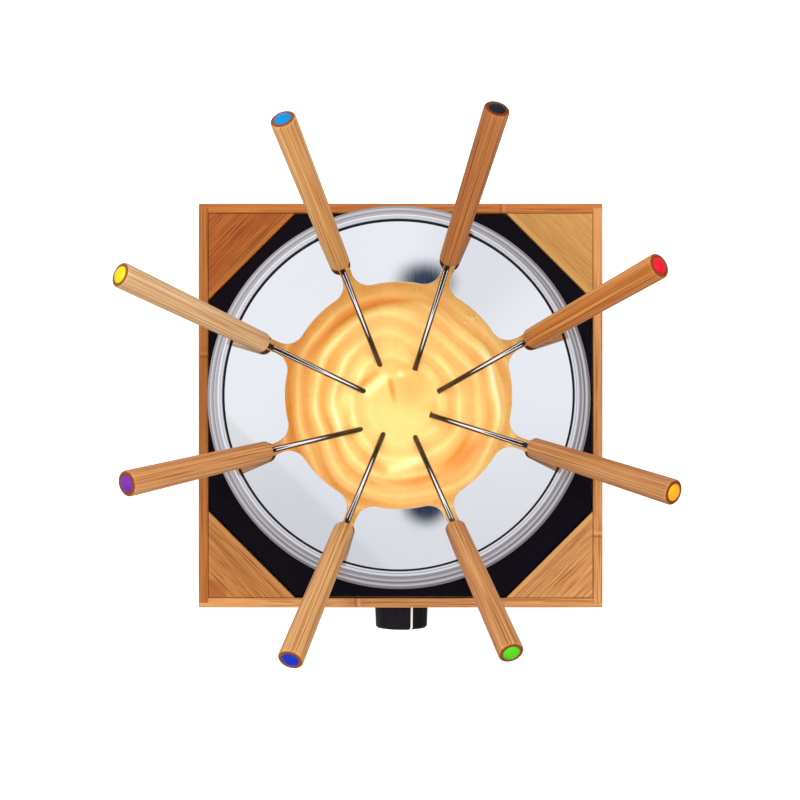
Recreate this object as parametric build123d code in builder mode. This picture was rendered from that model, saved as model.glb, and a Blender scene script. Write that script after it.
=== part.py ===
from build123d import *
import os
from math import cos, radians, sin

# Electric fondue set: a square bamboo housing with a black octagonal heater deck,
# a round steel pot, a fork ring on the pot's rim and eight long forks.
# Origin: centre of the footprint on the table. +Z is up, -Y is the front with the knob.

os.makedirs("parts", exist_ok=True)

# ------------------------------------------------------------ driving dimensions
# Bamboo housing
frame_side = 245.0
board_t = 5.8
board_lap = 2.9
foot_h = 8.0
frame_top = 70.0
panel_leg = 52.5
panel_t = 6.0
panel_top = 69.7
panel_seam = 0.2
block_leg = 50.0
block_hole_depth = 24.0
ledge_length = 110.0
ledge_w = 8.0
cover_gap = 0.2
edge_round = 0.7

# Deck and heater
deck_top = 69.0
deck_gap = 1.0
deck_round = 1.2
sheet_t = 1.5
skirt_h = 9.0
well_r = 84.0
well_depth = 4.6
well_round = 1.0
plate_r = 78.0
plate_t = 6.8
plate_gap = 0.5
plate_round = 1.2
plate_flange_r = 82.0
seal_t = 1.0
element_ring_r = 55.0
element_r = 3.5
element_sink = 1.0
element_clear = 0.2
terminal_angles = (260, 280)
terminal_r = 2.0
terminal_hole_r = 4.0
terminal_drop = 8.0
shield_r = 81.0
shield_drop = 11.6
shield_t = 0.8
shield_rim_gap = 0.4
shield_screw_circle = 32.0
standoff_r = 4.5
standoff_hole = 8.5
fuse_r = 2.8
fuse_length = 14.0
fuse_drop = 3.2
fuse_wire_r = 0.6
fuse_wire_length = 30.0
boss_circle_r = 108.0
boss_r = 4.5
boss_bottom = 46.0

# Fasteners
screw_clear_r = 2.2
tie_screw_r = 1.9
tie_screw_end = 54.0
tie_head_r = 3.6
tie_head_t = 2.4
wood_screw_r = 1.5
foot_head_r = 3.2
foot_head_t = 2.0
foot_screw_length = 28.0
shield_head_r = 3.0
shield_head_t = 2.0
shield_screw_length = 8.0
bracket_head_r = 2.8
bracket_head_t = 1.8
small_clear = 0.1
press_clear = 0.05

# Feet
foot_r = 9.0
foot_place = 104.0
foot_recess_r = 4.4
foot_recess = 3.5
foot_round = 1.0

# Cooling slots in the bottom cover
vent_length = 18.0
vent_w = 3.4
vent_pitch = 9.0
vent_count = 9
vent_row_pitch = 26.0
vent_rows = 3

# Knob and thermostat
knob_z = 36.0
knob_r = 16.7
knob_front_r = 16.2
knob_length = 16.0
knob_gap = 0.5
knob_dome = 1.4
knob_bend_up = 2.6
knob_bend_in = 1.2
knob_wall = 3.0
knob_hub_r = 5.4
knob_hollow = 11.0
knob_bore = 13.0
flute_count = 14
flute_r = 3.0
flute_depth = 0.55
pointer_angle = 23.5
pointer_w = 1.3
pointer_reach = 17.4
pointer_depth = 0.8
pointer_proud = 0.25
spindle_r = 3.0
spindle_hole_r = 5.0
spindle_sink = 11.0
spindle_front = 12.5
spindle_well = 12.0
bracket_span = 46.0
bracket_depth = 10.0
bracket_h = 24.0
bracket_t = 1.2
bracket_ear = 10.0
bracket_hole_r = 4.9
thermostat_w = 30.0
thermostat_d = 22.0
thermostat_h = 24.0
thermostat_round = 2.0
neck_r = 4.8
neck_reach = 5.6
nut_corner_r = 7.2
nut_t = 2.4
spade_w = 6.3
spade_t = 0.8
spade_length = 8.0
spade_pitch = 16.0

# Mains inlet
gland_x = 50.0
gland_z = 24.0
gland_bore_r = 3.6
gland_body_r = 6.4
gland_flange_r = 9.0
gland_flange_t = 2.2
gland_taper = 0.8
gland_collar = 1.2
gland_collar_reach = 3.5
block_x = 35.0
block_y = 62.0
block_w = 34.0
block_d = 16.0
block_h = 14.0
block_round = 1.5
block_pitch = 10.5
block_row_pitch = 8.0
block_screw_r = 1.9
block_screw_z = 8.0
block_wire_r = 2.0
block_wire_z = 5.0

# Pot
pot_inner_r = 98.0
pot_floor_top = 70.0
pot_corner_r = 20.0
pot_wall = 0.8
pot_shoulder_r = 3.0
pot_rim_top = 134.6
pot_seat_r = 101.8
pot_seat_round = 2.4
pot_step = 0.5
pot_lip_r = 107.4
pot_lip_round = 3.1
pot_lip_bottom = 124.3
pot_base_r = 75.0
pot_core_t = 3.0
pot_cap_t = 0.5
pot_cap_round = 0.4
rest_gap = 0.3

# Fork ring
ring_top = 143.0
ring_plate_t = 1.0
ring_plate_r = 95.9
ring_opening_r = 62.4
ring_rim_inner_r = 96.7
ring_rim_outer_r = 101.2
ring_rim_top = 145.5
ring_shoulder_w = 2.7
ring_shoulder_h = 3.5
ring_groove_depth = 0.5
ring_bead_w = 1.25
ring_bead_drop = 0.7
ring_ledge_w = 2.5
ring_ledge_t = 1.0
ring_skirt_r = 97.4
ring_skirt_t = 1.0
ring_skirt_bottom = 130.0
gasket_t = 1.5
slot_count = 8
slot_w = 6.0
slot_end_r = 81.5
slot_mouth_fillet = 10.0
slot_overrun = 10.0
first_slot = 23.5

# Forks: shank through the ring at notch_r, tines reaching down into the pot
notch_r = 75.3
fork_reach = 92.0
shank_r = 1.6
tine_w = 1.4
head_w = 5.8
head_length = 12.0
head_t = 1.8
head_throat = 3.0
tine_point = 3.0
handle_length = 98.0
handle_r_inner = 5.6
handle_r_outer = 6.6
handle_chamfer = 1.2
handle_seat_gap = 0.4
handle_seat_r = 5.2
tang_length = 62.0
hole_spare = 0.5
cap_r = 4.35
cap_dome = 1.8
cap_stem_r = 2.0
cap_stem = 7.0

# Each fork leans its own way in its slot: slot number, shift across the slot in mm,
# turn of its heading in degrees, slope above the horizontal in degrees.
forks = {
    "light_blue": (2, 0.85, -1.2, 51.0),
    "black": (1, 1.0, 1.7, 48.8),
    "red": (0, -0.85, 1.4, 50.3),
    "orange": (7, 0.1, -0.2, 46.0),
    "green": (6, -0.35, -0.6, 47.8),
    "dark_blue": (5, -0.85, 2.0, 46.7),
    "purple": (4, -0.15, -5.8, 50.2),
    "yellow": (3, 0.85, -0.4, 47.0),
}

# ------------------------------------------------------------ worked-out places
frame_half = frame_side / 2
inner_half = frame_half - board_t
board_h = frame_top - foot_h
board_mid = frame_half - board_t / 2
lap_half = inner_half + board_lap
cover_top = foot_h + sheet_t
panel_bottom = panel_top - panel_t
deck_half = inner_half - deck_gap
deck_leg = panel_leg - 2 * deck_gap + 1.41 * deck_gap
skirt_bottom = deck_top - skirt_h
well_floor = deck_top - well_depth
plate_hole_r = plate_r + plate_gap
seal_bottom = well_floor - sheet_t - seal_t
pot_bowl_top = pot_floor_top + pot_corner_r
pot_bowl_cut = pot_floor_top + 0.32 * pot_corner_r
pot_core_bottom = pot_floor_top - pot_wall - pot_core_t
pot_bottom = pot_core_bottom - pot_cap_t
plate_top = pot_bottom - rest_gap
plate_bottom = plate_top - plate_t
element_z = plate_bottom - element_sink
fuse_z = plate_bottom - fuse_drop
shield_bottom = plate_bottom - shield_drop
shield_floor = shield_bottom + shield_t
boss_place = boss_circle_r * cos(radians(45))
wood_hole_r = wood_screw_r + small_clear
bracket_back = -inner_half + bracket_depth
bracket_bottom = knob_z - bracket_h / 2
bracket_half = bracket_span / 2
bracket_hole_span = bracket_span + bracket_ear
neck_front = bracket_back - neck_reach
knob_front = knob_gap + knob_length
ring_seat = ring_top - ring_plate_t
slot_start_r = ring_opening_r - slot_overrun
rim_foot = pot_rim_top + rest_gap
corners = {
    "front_left": (-1, -1),
    "front_right": (1, -1),
    "back_left": (-1, 1),
    "back_right": (1, 1),
}


def save(part, name):
    """Label one finished piece and write it as its own STEP."""
    part.label = name
    export_step(part, f"parts/{name}.step")


def octagon(half, leg):
    """Square outline of the given half width with its four corners cut off."""
    cut = half - leg
    Polyline(
        (-cut, -half), (cut, -half), (half, -cut), (half, cut),
        (cut, half), (-cut, half), (-half, cut), (-half, -cut),
        close=True,
    )


def front_plane(y):
    """Vertical plane facing the front at y, centred on the knob's axis."""
    return Plane(origin=(0, y, knob_z), x_dir=(1, 0, 0), z_dir=(0, -1, 0))


# ------------------------------------------------------------ bamboo boards
# Front and back boards run the full width and are stepped at their ends for the side boards.
with BuildPart() as front_board:
    with BuildSketch(Plane.XY.offset(foot_h)):
        with Locations((0, -board_mid)):
            Rectangle(frame_side, board_t)
    extrude(amount=board_h)
    fillet(front_board.edges().filter_by(Axis.Z).group_by(Axis.Y)[0], edge_round)
    fillet(front_board.edges().group_by(Axis.Z)[-1], edge_round)
    with BuildSketch(Plane.XY.offset(foot_h)):
        with GridLocations(2 * board_mid, 2 * inner_half, 2, 2):
            Rectangle(board_t, 2 * board_lap)
    extrude(amount=board_h, mode=Mode.SUBTRACT)
    with BuildSketch(front_plane(-inner_half)):
        Circle(spindle_hole_r)
    extrude(amount=board_t, mode=Mode.SUBTRACT)
save(front_board.part, "front_board")

with BuildPart() as back_board:
    with BuildSketch(Plane.XY.offset(foot_h)):
        with Locations((0, board_mid)):
            Rectangle(frame_side, board_t)
    extrude(amount=board_h)
    fillet(back_board.edges().filter_by(Axis.Z).group_by(Axis.Y)[-1], edge_round)
    fillet(back_board.edges().group_by(Axis.Z)[-1], edge_round)
    with BuildSketch(Plane.XY.offset(foot_h)):
        with GridLocations(2 * board_mid, 2 * inner_half, 2, 2):
            Rectangle(board_t, 2 * board_lap)
    extrude(amount=board_h, mode=Mode.SUBTRACT)
    # Hole for the mains gland
    with BuildSketch(Plane.XZ.offset(-frame_half)):
        with Locations((gland_x, gland_z)):
            Circle(gland_body_r + small_clear)
    extrude(amount=board_t, mode=Mode.SUBTRACT)
save(back_board.part, "back_board")

# Side boards reach into the steps.
for name, side in (("left_board", -1), ("right_board", 1)):
    with BuildPart() as side_board:
        with BuildSketch(Plane.XY.offset(foot_h)):
            with Locations((side * board_mid, 0)):
                Rectangle(board_t, 2 * lap_half)
        extrude(amount=board_h)
        long_edges = side_board.edges().group_by(Axis.Z)[-1].filter_by(Axis.Y)
        fillet(long_edges, edge_round)
    save(side_board.part, name)

# ------------------------------------------------------------ corner panels and blocks
for name, (side_x, side_y) in corners.items():
    reach = inner_half - panel_seam
    with BuildPart() as corner_panel:
        with BuildSketch(Plane.XY.offset(panel_bottom)):
            with BuildLine():
                Polyline(
                    (side_x * reach, side_y * reach),
                    (side_x * (inner_half - panel_leg), side_y * reach),
                    (side_x * reach, side_y * (inner_half - panel_leg)),
                    close=True,
                )
            make_face()
        extrude(amount=panel_t)
        fillet(corner_panel.edges().group_by(Axis.Z)[-1], edge_round / 2)
    save(corner_panel.part, f"corner_panel_{name}")

# Glue blocks in the four corners carry the panels and take the foot screws,
# and ledge strips on the boards carry the deck's skirt.
with BuildPart() as inner_wood:
    with BuildSketch(Plane.XY.offset(cover_top)):
        for side_x, side_y in corners.values():
            with BuildLine():
                Polyline(
                    (side_x * inner_half, side_y * inner_half),
                    (side_x * (inner_half - block_leg), side_y * inner_half),
                    (side_x * inner_half, side_y * (inner_half - block_leg)),
                    close=True,
                )
            make_face()
    extrude(amount=panel_bottom - cover_top)
    with BuildSketch(Plane.XY.offset(cover_top)):
        with GridLocations(2 * foot_place, 2 * foot_place, 2, 2):
            Circle(wood_hole_r)
    extrude(amount=block_hole_depth, mode=Mode.SUBTRACT)
    with BuildSketch(Plane.XY.offset(skirt_bottom - ledge_w)):
        with GridLocations(1, 2 * inner_half - ledge_w, 1, 2):
            Rectangle(ledge_length, ledge_w)
        with GridLocations(2 * inner_half - ledge_w, 1, 2, 1):
            Rectangle(ledge_w, ledge_length)
    extrude(amount=ledge_w)
save(inner_wood.part, "inner_wood")

# ------------------------------------------------------------ heater deck
with BuildPart() as heater_deck:
    with BuildSketch(Plane.XY.offset(skirt_bottom)):
        with BuildLine():
            octagon(deck_half, deck_leg)
        make_face()
    extrude(amount=skirt_h)
    fillet(heater_deck.edges().group_by(Axis.Z)[-1], deck_round)
    with BuildSketch(Plane.XY.offset(skirt_bottom)):
        with BuildLine():
            octagon(deck_half - sheet_t, deck_leg - 0.6 * sheet_t)
        make_face()
    extrude(amount=skirt_h - sheet_t, mode=Mode.SUBTRACT)
    # Round well for the pot's base, open in the middle for the hot plate
    with BuildSketch(Plane.XY.offset(well_floor - sheet_t)):
        Circle(well_r + sheet_t)
    extrude(amount=well_depth)
    with BuildSketch(Plane.XY.offset(well_floor)):
        Circle(well_r)
    extrude(amount=well_depth, mode=Mode.SUBTRACT)
    with BuildSketch(Plane.XY.offset(well_floor - sheet_t)):
        Circle(plate_hole_r)
    extrude(amount=sheet_t, mode=Mode.SUBTRACT)
    rim_edge = heater_deck.edges().filter_by(GeomType.CIRCLE).group_by(Axis.Z)[-1]
    fillet(rim_edge, well_round)
    # Threaded bosses for the tie screws
    with BuildSketch(Plane.XY.offset(boss_bottom)):
        with PolarLocations(boss_circle_r, 4, start_angle=45):
            Circle(boss_r)
    extrude(amount=deck_top - sheet_t - boss_bottom)
    with BuildSketch(Plane.XY.offset(boss_bottom)):
        with PolarLocations(boss_circle_r, 4, start_angle=45):
            Circle(tie_screw_r + small_clear)
    extrude(amount=tie_screw_end + 1 - boss_bottom, mode=Mode.SUBTRACT)
save(heater_deck.part, "heater_deck")

# ------------------------------------------------------------ hot plate and element
with BuildPart() as plate_seal:
    with BuildSketch(Plane.XY.offset(seal_bottom)):
        Circle(plate_flange_r)
        Circle(plate_hole_r, mode=Mode.SUBTRACT)
    extrude(amount=seal_t)
save(plate_seal.part, "plate_seal")

with BuildPart() as hot_plate:
    with BuildSketch(Plane.XY.offset(plate_bottom)):
        Circle(plate_r)
    extrude(amount=plate_t)
    fillet(hot_plate.edges().group_by(Axis.Z)[-1], plate_round)
    with BuildSketch(Plane.XY.offset(plate_bottom)):
        Circle(plate_flange_r)
    extrude(amount=seal_bottom - plate_bottom)
    # Groove that holds the element against the plate
    with BuildSketch(Plane.XZ):
        with Locations((element_ring_r, element_z)):
            Circle(element_r + element_clear)
    revolve(axis=Axis.Z, mode=Mode.SUBTRACT)
    # Three posts that carry the heat shield
    with BuildSketch(Plane.XY.offset(shield_floor)):
        with PolarLocations(shield_screw_circle, 3, start_angle=90):
            Circle(standoff_r)
    extrude(amount=shield_drop - shield_t)
    with BuildSketch(Plane.XY.offset(shield_floor)):
        with PolarLocations(shield_screw_circle, 3, start_angle=90):
            Circle(wood_hole_r)
    extrude(amount=standoff_hole, mode=Mode.SUBTRACT)
save(hot_plate.part, "hot_plate")

with BuildPart() as heating_element:
    with BuildSketch(Plane.XZ.rotated((0, 0, terminal_angles[1]))):
        with Locations((element_ring_r, element_z)):
            Circle(element_r)
    revolve(axis=Axis.Z, revolution_arc=360 + terminal_angles[0] - terminal_angles[1])
    # The two cold ends turn down through the shield
    with BuildSketch(Plane.XY.offset(shield_bottom - terminal_drop)):
        for angle in terminal_angles:
            with PolarLocations(element_ring_r, 1, start_angle=angle):
                Circle(terminal_r)
    extrude(amount=element_z - shield_bottom + terminal_drop)
save(heating_element.part, "heating_element")

with BuildPart() as heat_shield:
    with BuildSketch(Plane.XY.offset(shield_bottom)):
        Circle(shield_r)
    extrude(amount=shield_drop - shield_rim_gap)
    with BuildSketch(Plane.XY.offset(shield_floor)):
        Circle(shield_r - shield_t)
    extrude(amount=shield_drop, mode=Mode.SUBTRACT)
    with BuildSketch(Plane.XY.offset(shield_bottom)):
        with PolarLocations(shield_screw_circle, 3, start_angle=90):
            Circle(screw_clear_r)
        for angle in terminal_angles:
            with PolarLocations(element_ring_r, 1, start_angle=angle):
                Circle(terminal_hole_r)
    extrude(amount=shield_t, mode=Mode.SUBTRACT)
save(heat_shield.part, "heat_shield")

# Over-temperature fuse clipped under the middle of the plate
with BuildPart() as thermal_fuse:
    with BuildSketch(Plane.YZ.offset(-fuse_length / 2)):
        with Locations((0, fuse_z)):
            Circle(fuse_r)
    extrude(amount=fuse_length)
    with BuildSketch(Plane.YZ.offset(-fuse_wire_length / 2)):
        with Locations((0, fuse_z)):
            Circle(fuse_wire_r)
    extrude(amount=fuse_wire_length)
save(thermal_fuse.part, "thermal_fuse")

# ------------------------------------------------------------ thermostat
with BuildPart() as thermostat_bracket:
    with BuildSketch(Plane.XY.offset(bracket_bottom)):
        with Locations((0, bracket_back - bracket_t / 2)):
            Rectangle(bracket_span, bracket_t)
        with Locations((0, bracket_back - bracket_depth / 2)):
            with GridLocations(bracket_span - bracket_t, 1, 2, 1):
                Rectangle(bracket_t, bracket_depth)
        with Locations((0, bracket_t / 2 - inner_half)):
            with GridLocations(bracket_span - bracket_t + bracket_ear, 1, 2, 1):
                Rectangle(bracket_ear + bracket_t, bracket_t)
    extrude(amount=bracket_h)
    with BuildSketch(front_plane(bracket_back)):
        Circle(bracket_hole_r)
    extrude(amount=bracket_t, mode=Mode.SUBTRACT)
    with BuildSketch(front_plane(-inner_half + bracket_t)):
        with GridLocations(bracket_hole_span, 1, 2, 1):
            Circle(wood_hole_r)
    extrude(amount=bracket_t, mode=Mode.SUBTRACT)
save(thermostat_bracket.part, "thermostat_bracket")

with BuildPart() as thermostat_body:
    with BuildSketch(front_plane(bracket_back + thermostat_d)):
        RectangleRounded(thermostat_w, thermostat_h, thermostat_round)
    extrude(amount=thermostat_d)
    with BuildSketch(front_plane(bracket_back)):
        Circle(neck_r)
    extrude(amount=neck_reach)
    with BuildSketch(front_plane(bracket_back + spindle_well)):
        Circle(spindle_r + press_clear)
    extrude(amount=spindle_well + neck_reach, mode=Mode.SUBTRACT)
    # Spade terminals at the back
    with BuildSketch(front_plane(bracket_back + thermostat_d + spade_length)):
        with GridLocations(spade_pitch, 1, 2, 1):
            Rectangle(spade_t, spade_w)
    extrude(amount=spade_length)
save(thermostat_body.part, "thermostat_body")

with BuildPart() as thermostat_nut:
    with BuildSketch(front_plane(bracket_back - bracket_t)):
        RegularPolygon(nut_corner_r, 6)
        Circle(neck_r + press_clear, mode=Mode.SUBTRACT)
    extrude(amount=nut_t)
save(thermostat_nut.part, "thermostat_nut")

# Three screws under the heat shield and two in the thermostat's bracket
with BuildPart() as heater_screws:
    with BuildSketch(Plane.XY.offset(shield_bottom - shield_head_t)):
        with PolarLocations(shield_screw_circle, 3, start_angle=90):
            Circle(shield_head_r)
    extrude(amount=shield_head_t)
    with BuildSketch(Plane.XY.offset(shield_bottom)):
        with PolarLocations(shield_screw_circle, 3, start_angle=90):
            Circle(wood_screw_r)
    extrude(amount=shield_screw_length)
    with BuildSketch(front_plane(-inner_half + bracket_t + bracket_head_t)):
        with GridLocations(bracket_hole_span, 1, 2, 1):
            Circle(bracket_head_r)
    extrude(amount=bracket_head_t)
    with BuildSketch(front_plane(-inner_half + bracket_t)):
        with GridLocations(bracket_hole_span, 1, 2, 1):
            Circle(wood_screw_r)
    extrude(amount=bracket_t)
save(heater_screws.part, "heater_screws")

# ------------------------------------------------------------ wiring and inlet
with BuildPart() as terminal_block:
    block_plane = Plane((block_x, block_y, cover_top))
    with BuildSketch(block_plane):
        RectangleRounded(block_w, block_d, block_round)
    extrude(amount=block_h)
    with BuildSketch(block_plane.offset(block_screw_z)):
        with GridLocations(block_pitch, block_row_pitch, 3, 2):
            Circle(block_screw_r)
    extrude(amount=block_h - block_screw_z, mode=Mode.SUBTRACT)
    with BuildSketch(Plane.XZ.offset(-block_y - block_d / 2)):
        with Locations((block_x, cover_top + block_wire_z)):
            with GridLocations(block_pitch, 1, 3, 1):
                Circle(block_wire_r)
    extrude(amount=block_d, mode=Mode.SUBTRACT)
save(terminal_block.part, "terminal_block")

with BuildPart() as cord_gland:
    gland_plane = Plane(origin=(gland_x, inner_half, gland_z), x_dir=(1, 0, 0), z_dir=(0, 0, 1))
    with BuildSketch(gland_plane):
        with BuildLine():
            Polyline(
                (gland_bore_r, -gland_collar_reach),
                (gland_body_r + gland_collar, -gland_collar_reach),
                (gland_body_r + gland_collar, 0),
                (gland_body_r, 0),
                (gland_body_r, board_t),
                (gland_flange_r, board_t),
                (gland_flange_r - gland_taper, board_t + gland_flange_t),
                (gland_bore_r, board_t + gland_flange_t),
                close=True,
            )
        make_face()
    revolve(axis=Axis((gland_x, 0, gland_z), (0, 1, 0)))
save(cord_gland.part, "cord_gland")

# ------------------------------------------------------------ bottom cover, feet, screws
with BuildPart() as bottom_cover:
    with BuildSketch(Plane.XY.offset(foot_h)):
        Rectangle(2 * (inner_half - cover_gap), 2 * (inner_half - cover_gap))
        with GridLocations(2 * foot_place, 2 * foot_place, 2, 2):
            Circle(wood_hole_r, mode=Mode.SUBTRACT)
        with GridLocations(2 * boss_place, 2 * boss_place, 2, 2):
            Circle(screw_clear_r, mode=Mode.SUBTRACT)
        # Cooling slots in rows
        with GridLocations(1, vent_row_pitch, 1, vent_rows):
            with GridLocations(vent_pitch, 1, vent_count, 1):
                SlotOverall(vent_length, vent_w, rotation=90, mode=Mode.SUBTRACT)
    extrude(amount=sheet_t)
save(bottom_cover.part, "bottom_cover")

with BuildPart() as rubber_feet:
    with BuildSketch():
        with GridLocations(2 * foot_place, 2 * foot_place, 2, 2):
            Circle(foot_r)
    extrude(amount=foot_h)
    fillet(rubber_feet.edges().group_by(Axis.Z)[0], foot_round)
    with BuildSketch():
        with GridLocations(2 * foot_place, 2 * foot_place, 2, 2):
            Circle(foot_recess_r)
    extrude(amount=foot_recess, mode=Mode.SUBTRACT)
    with BuildSketch(Plane.XY.offset(foot_recess)):
        with GridLocations(2 * foot_place, 2 * foot_place, 2, 2):
            Circle(wood_hole_r)
    extrude(amount=foot_h, mode=Mode.SUBTRACT)
save(rubber_feet.part, "rubber_feet")

# Four tie screws hold the cover to the deck's bosses, four wood screws hold the feet.
with BuildPart() as base_screws:
    with BuildSketch(Plane.XY.offset(foot_h - tie_head_t)):
        with GridLocations(2 * boss_place, 2 * boss_place, 2, 2):
            Circle(tie_head_r)
    extrude(amount=tie_head_t)
    with BuildSketch(Plane.XY.offset(foot_h)):
        with GridLocations(2 * boss_place, 2 * boss_place, 2, 2):
            Circle(tie_screw_r)
    extrude(amount=tie_screw_end - foot_h)
    with BuildSketch(Plane.XY.offset(foot_recess - foot_head_t)):
        with GridLocations(2 * foot_place, 2 * foot_place, 2, 2):
            Circle(foot_head_r)
    extrude(amount=foot_head_t)
    with BuildSketch(Plane.XY.offset(foot_recess)):
        with GridLocations(2 * foot_place, 2 * foot_place, 2, 2):
            Circle(wood_screw_r)
    extrude(amount=foot_screw_length)
save(base_screws.part, "base_screws")

# ------------------------------------------------------------ control knob
# Turned about an axis along Y; distances run forward from the front board's face.
knob_axis = Axis((0, 0, knob_z), (0, 1, 0))
knob_plane = Plane(origin=(0, -frame_half, knob_z), x_dir=(1, 0, 0), z_dir=(0, 0, -1))


def knob_outline(grow):
    """Half section of the knob's solid outside, grown or shrunk all round."""
    bend_top = knob_front - knob_dome + 0.3 * grow
    side = Line((knob_r + grow, knob_gap), (knob_front_r + grow, knob_front - knob_bend_up))
    bend = Line(side @ 1, (knob_front_r - knob_bend_in + grow, bend_top))
    face = TangentArc((0, knob_front + grow), bend @ 1, tangent=(1, 0))
    Polyline(face @ 0, (0, knob_gap), side @ 0)


with BuildPart() as knob_body:
    with BuildSketch(knob_plane):
        with BuildLine():
            knob_outline(0)
        make_face()
    revolve(axis=knob_axis)
    # Broad flutes round the grip, with the pointer on the land between two of them
    first_flute = 90 - pointer_angle + 180 / flute_count
    with BuildSketch(front_plane(-frame_half)):
        with PolarLocations(knob_r + flute_r - flute_depth, flute_count, start_angle=first_flute):
            Circle(flute_r)
    extrude(amount=knob_front, mode=Mode.SUBTRACT)
    # Shallow seat of the pointer strip, cut through and filled up again underneath
    with BuildSketch(front_plane(-frame_half)):
        with PolarLocations(knob_r, 1, start_angle=90 - pointer_angle):
            Rectangle(pointer_reach + small_clear, pointer_w + small_clear)
    extrude(amount=knob_front + 1, mode=Mode.SUBTRACT)
    with BuildSketch(knob_plane):
        with BuildLine():
            knob_outline(-pointer_depth - press_clear)
        make_face()
    revolve(axis=knob_axis)
    # Hollow back with a hub for the spindle
    with BuildSketch(front_plane(-frame_half)):
        Circle(knob_r - knob_wall)
        Circle(knob_hub_r, mode=Mode.SUBTRACT)
    extrude(amount=knob_hollow, mode=Mode.SUBTRACT)
    with BuildSketch(front_plane(-frame_half)):
        Circle(spindle_r + press_clear)
    extrude(amount=knob_bore, mode=Mode.SUBTRACT)
save(knob_body.part, "knob_body")

with BuildPart() as knob_pointer:
    with BuildSketch(knob_plane):
        with BuildLine():
            knob_outline(pointer_proud)
        make_face()
    revolve(axis=knob_axis)
    with BuildSketch(knob_plane):
        with BuildLine():
            knob_outline(-pointer_depth)
        make_face()
    revolve(axis=knob_axis, mode=Mode.SUBTRACT)
    with BuildSketch(front_plane(-frame_half)):
        with PolarLocations(knob_r, 1, start_angle=90 - pointer_angle):
            Rectangle(pointer_reach, pointer_w)
    extrude(amount=knob_front + 1, mode=Mode.INTERSECT)
save(knob_pointer.part, "knob_pointer")

with BuildPart() as thermostat_spindle:
    with BuildSketch(front_plane(bracket_back + spindle_sink)):
        Circle(spindle_r)
    extrude(amount=bracket_back + spindle_sink + frame_half + spindle_front)
save(thermostat_spindle.part, "thermostat_spindle")

# ------------------------------------------------------------ pot
# Rim, side, bowl and floor are one drawn sheet, written as three simple rings and a disc.
with BuildPart() as pot_bowl:
    with BuildSketch(Plane.XZ):
        with BuildLine():
            floor = Line(
                (pot_base_r, pot_floor_top), (pot_inner_r - pot_corner_r, pot_floor_top)
            )
            TangentArc(floor @ 1, (pot_inner_r, pot_bowl_top), tangent=floor % 1)
            offset(amount=pot_wall, side=Side.RIGHT)
        make_face()
    revolve(axis=Axis.Z)
    # Cut level, so that neither half of the bend reaches across the bowl when its collision is made
    split(bisect_by=Plane.XY.offset(pot_bowl_cut), keep=Keep.BOTH)
save(pot_bowl.part, "pot_bowl")

with BuildPart() as pot_side:
    with BuildSketch(Plane.XY.offset(pot_bowl_top)):
        Circle(pot_inner_r + pot_wall)
        Circle(pot_inner_r, mode=Mode.SUBTRACT)
    extrude(amount=pot_rim_top - pot_shoulder_r - pot_bowl_top)
save(pot_side.part, "pot_side")

with BuildPart() as pot_rim:
    with BuildSketch(Plane.XZ):
        with BuildLine():
            shoulder = TangentArc(
                (pot_inner_r, pot_rim_top - pot_shoulder_r),
                (pot_inner_r + pot_shoulder_r, pot_rim_top),
                tangent=(0, 1),
            )
            ledge = Line(shoulder @ 1, (pot_seat_r, pot_rim_top))
            drop = TangentArc(
                ledge @ 1,
                (pot_seat_r + pot_seat_round, pot_rim_top - pot_seat_round),
                tangent=ledge % 1,
            )
            step = Line(drop @ 1, (pot_lip_r - pot_lip_round, (drop @ 1).Y - pot_step))
            lip = TangentArc(
                step @ 1, (pot_lip_r, (step @ 1).Y - pot_lip_round), tangent=(1, 0)
            )
            Line(lip @ 1, (pot_lip_r, pot_lip_bottom))
            offset(amount=pot_wall, side=Side.RIGHT)
        make_face()
    revolve(axis=Axis.Z)
save(pot_rim.part, "pot_rim")

with BuildPart() as pot_floor:
    with BuildSketch(Plane.XY.offset(pot_floor_top - pot_wall)):
        Circle(pot_base_r)
    extrude(amount=pot_wall)
save(pot_floor.part, "pot_floor")

with BuildPart() as pot_core:
    with BuildSketch(Plane.XY.offset(pot_core_bottom)):
        Circle(pot_base_r)
    extrude(amount=pot_core_t)
save(pot_core.part, "pot_core")

with BuildPart() as pot_base_cap:
    with BuildSketch(Plane.XY.offset(pot_bottom)):
        Circle(pot_base_r + pot_cap_t)
    extrude(amount=pot_cap_t + pot_core_t)
    fillet(pot_base_cap.edges().group_by(Axis.Z)[0], pot_cap_round)
    with BuildSketch(Plane.XY.offset(pot_core_bottom)):
        Circle(pot_base_r)
    extrude(amount=pot_core_t, mode=Mode.SUBTRACT)
save(pot_base_cap.part, "pot_base_cap")

# ------------------------------------------------------------ fork ring
with BuildPart() as ring_plate:
    with BuildSketch(Plane.XY.offset(ring_seat)) as plate_sketch:
        Circle(ring_plate_r)
        Circle(ring_opening_r, mode=Mode.SUBTRACT)
        with PolarLocations(0, slot_count, start_angle=first_slot):
            with Locations(((slot_start_r + slot_end_r) / 2, 0)):
                SlotOverall(slot_end_r - slot_start_r, slot_w, mode=Mode.SUBTRACT)
        mouth_points = plate_sketch.vertices().group_by(
            lambda point: round(Vector(point.X, point.Y).length, 1)
        )[0]
        fillet(mouth_points, slot_mouth_fillet)
    extrude(amount=ring_plate_t)
save(ring_plate.part, "ring_plate")

with BuildPart() as ring_gasket:
    with BuildSketch(Plane.XY.offset(ring_seat)):
        Circle(ring_rim_inner_r)
        Circle(ring_plate_r, mode=Mode.SUBTRACT)
    extrude(amount=gasket_t)
save(ring_gasket.part, "ring_gasket")

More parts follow.
